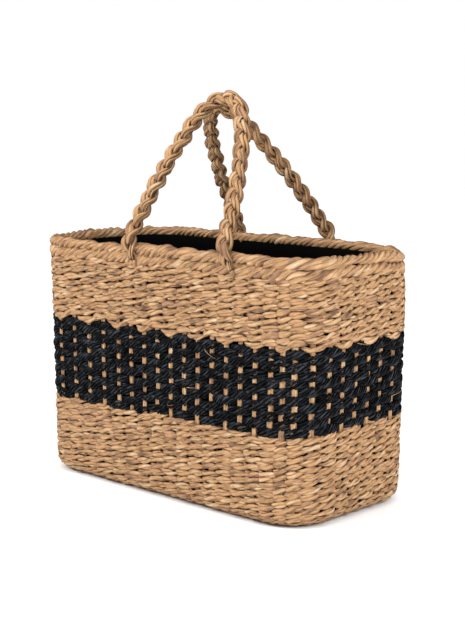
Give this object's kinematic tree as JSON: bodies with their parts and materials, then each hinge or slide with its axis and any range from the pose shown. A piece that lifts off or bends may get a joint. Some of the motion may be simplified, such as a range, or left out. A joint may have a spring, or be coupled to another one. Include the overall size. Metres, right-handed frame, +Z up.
{
  "type": "woven market basket",
  "caption": "Lined rectangular seagrass basket with a dark woven band, flared end walls and two plaited handles that fold outwards.",
  "frame": {"origin": "middle of the underside, where the basket stands", "axes": "+Z up; +X along the basket's length; the front wall, whose handle sits off centre, faces -Y"},
  "size_m": [0.411, 0.2301, 0.4311],
  "materials": {
    "seagrass_weave": "twined dry seagrass, matt",
    "seagrass_stake": "flat dry seagrass strip, matt",
    "seagrass_plait": "plaited dry seagrass, slight sheen",
    "black_cord": "dyed twisted cord, dull sheen",
    "lining_cloth": "plain woven cloth, matt"
  },
  "bodies": {
    "basket": {"base_weave": "seagrass_weave", "base_inner_weave": "seagrass_weave", "lower_weave": "seagrass_weave", "band_weave": "black_cord", "upper_weave": "seagrass_weave", "border_row": "seagrass_weave", "rim_roll": "seagrass_weave", "lining": "lining_cloth", "cross_stake_01": "seagrass_stake", "cross_stake_02": "seagrass_stake", "cross_stake_03": "seagrass_stake", "cross_stake_04": "seagrass_stake", "cross_stake_05": "seagrass_stake", "cross_stake_06": "seagrass_stake", "cross_stake_07": "seagrass_stake", "cross_stake_08": "seagrass_stake", "cross_stake_09": "seagrass_stake", "cross_stake_10": "seagrass_stake", "cross_stake_11": "seagrass_stake", "cross_stake_12": "seagrass_stake", "cross_stake_13": "seagrass_stake", "cross_stake_14": "seagrass_stake", "cross_stake_15": "seagrass_stake", "cross_stake_16": "seagrass_stake", "cross_stake_17": "seagrass_stake", "cross_stake_18": "seagrass_stake", "cross_stake_19": "seagrass_stake", "long_stake_01": "seagrass_stake", "long_stake_02": "seagrass_stake", "long_stake_03": "seagrass_stake", "long_stake_04": "seagrass_stake", "long_stake_05": "seagrass_stake", "long_stake_06": "seagrass_stake", "long_stake_07": "seagrass_stake", "long_stake_08": "seagrass_stake", "front_handle_tail_left": "seagrass_plait", "front_handle_tail_right": "seagrass_plait", "back_handle_tail_left": "seagrass_plait", "back_handle_tail_right": "seagrass_plait"},
    "front_handle": {"front_handle_strand_1": "seagrass_plait", "front_handle_strand_2": "seagrass_plait", "front_handle_strand_3": "seagrass_plait"},
    "back_handle": {"back_handle_strand_1": "seagrass_plait", "back_handle_strand_2": "seagrass_plait", "back_handle_strand_3": "seagrass_plait"}
  },
  "joints": [
    {"name": "front_handle_fold", "type": "hinge", "parent": "basket", "child": "front_handle", "pos_m": [0.0409, -0.11, 0.246], "axis": [1, 0, 0], "range_deg": [0, 170]},
    {"name": "back_handle_fold", "type": "hinge", "parent": "basket", "child": "back_handle", "pos_m": [0, 0.11, 0.246], "axis": [-1, 0, 0], "range_deg": [0, 170]}
  ]
}
